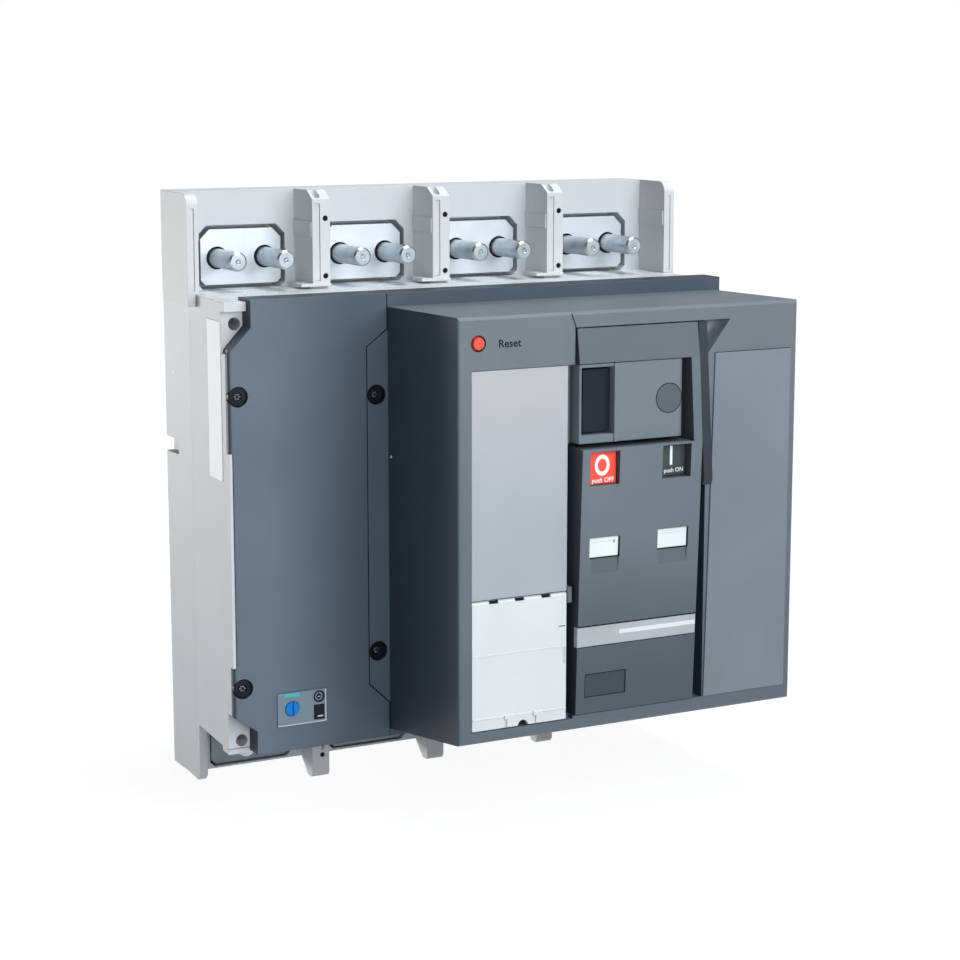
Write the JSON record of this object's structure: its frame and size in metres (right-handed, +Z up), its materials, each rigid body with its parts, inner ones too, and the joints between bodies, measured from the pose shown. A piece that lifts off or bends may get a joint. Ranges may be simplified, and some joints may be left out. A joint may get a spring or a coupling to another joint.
{
  "type": "molded case circuit breaker",
  "caption": "Four-pole fixed molded case circuit breaker with front terminals on studs, a neutral pole beside the facia, a trip unit, push buttons and a spring charging handle.",
  "frame": {"origin": "on the flat rear face, midway across the poles and at mid height of the moulded base", "axes": "+X to the operator's right across the poles, +Y into the back plate (the front faces -Y), +Z up"},
  "size_m": [0.2906, 0.1863, 0.3185],
  "materials": {
    "case_grey": "light grey moulded thermoset",
    "slate": "satin slate grey moulded plastic",
    "dark_slate": "satin dark grey plastic",
    "gloss_panel": "glossy slate panel",
    "plated_copper": "silver plated copper",
    "zinc_steel": "zinc plated steel",
    "black_steel": "blackened screw",
    "plate_grey": "satin grey plate",
    "dial_blue": "blue plastic",
    "label_white": "white print film",
    "trip_silver": "light grey satin plastic",
    "clear_cover": "translucent pale plastic",
    "button_red": "red plastic",
    "button_black": "black plastic",
    "stripe_grey": "silver grey stripe"
  },
  "bodies": {
    "breaker": {"rear_base": "case_grey", "pole_chambers": "case_grey", "end_shield_left": "case_grey", "end_shield_right": "case_grey", "phase_barrier_1": "case_grey", "phase_barrier_2": "case_grey", "phase_barrier_3": "case_grey", "lower_barrier_1": "case_grey", "lower_barrier_2": "case_grey", "lower_barrier_3": "case_grey", "upper_pads": "plated_copper", "lower_pads": "plated_copper", "upper_studs": "zinc_steel", "lower_studs": "zinc_steel", "neutral_cover": "slate", "three_pole_cover": "slate", "cover_screws": "black_steel", "selector_plate": "plate_grey", "side_label": "label_white", "facia": "slate", "trip_unit": "trip_silver", "settings_panel": "plate_grey", "mechanism_cover": "slate", "lock_plate": "slate", "lock_slide": "dark_slate", "keylock_cap": "slate", "state_window": "label_white", "spring_window": "label_white", "trim_stripe": "stripe_grey", "counter_cap": "slate", "side_panel": "gloss_panel"},
    "handle": {"charging_handle": "dark_slate"},
    "off": {"off_button": "button_red"},
    "on": {"on_button": "button_black"},
    "reset": {"reset_button": "button_red"},
    "flap": {"settings_cover": "clear_cover"},
    "dial": {"selector_dial": "dial_blue"}
  },
  "joints": [
    {"name": "handle_hinge", "type": "hinge", "parent": "breaker", "child": "handle", "pos_m": [0.0842, -0.1715, 0.017], "axis": [1, 0, 0], "range_deg": [0, 70], "stiffness_Nm_per_rad": 0.2},
    {"name": "off_press", "type": "slide", "parent": "breaker", "child": "off", "axis": [0, 1, 0], "range_m": [0, 0.003], "stiffness_N_per_m": 400},
    {"name": "on_press", "type": "slide", "parent": "breaker", "child": "on", "axis": [0, 1, 0], "range_m": [0, 0.003], "stiffness_N_per_m": 400},
    {"name": "reset_press", "type": "slide", "parent": "breaker", "child": "reset", "axis": [0, 1, 0], "range_m": [0, 0.003], "stiffness_N_per_m": 300},
    {"name": "cover_hinge", "type": "hinge", "parent": "breaker", "child": "flap", "pos_m": [-0.023, -0.1766, -0.0416], "axis": [-1, 0, 0], "range_deg": [0, 100]},
    {"name": "dial_turn", "type": "hinge", "parent": "breaker", "child": "dial", "pos_m": [-0.1124, -0.1, -0.1045], "axis": [0, 1, 0], "range_deg": [0, 90]}
  ]
}
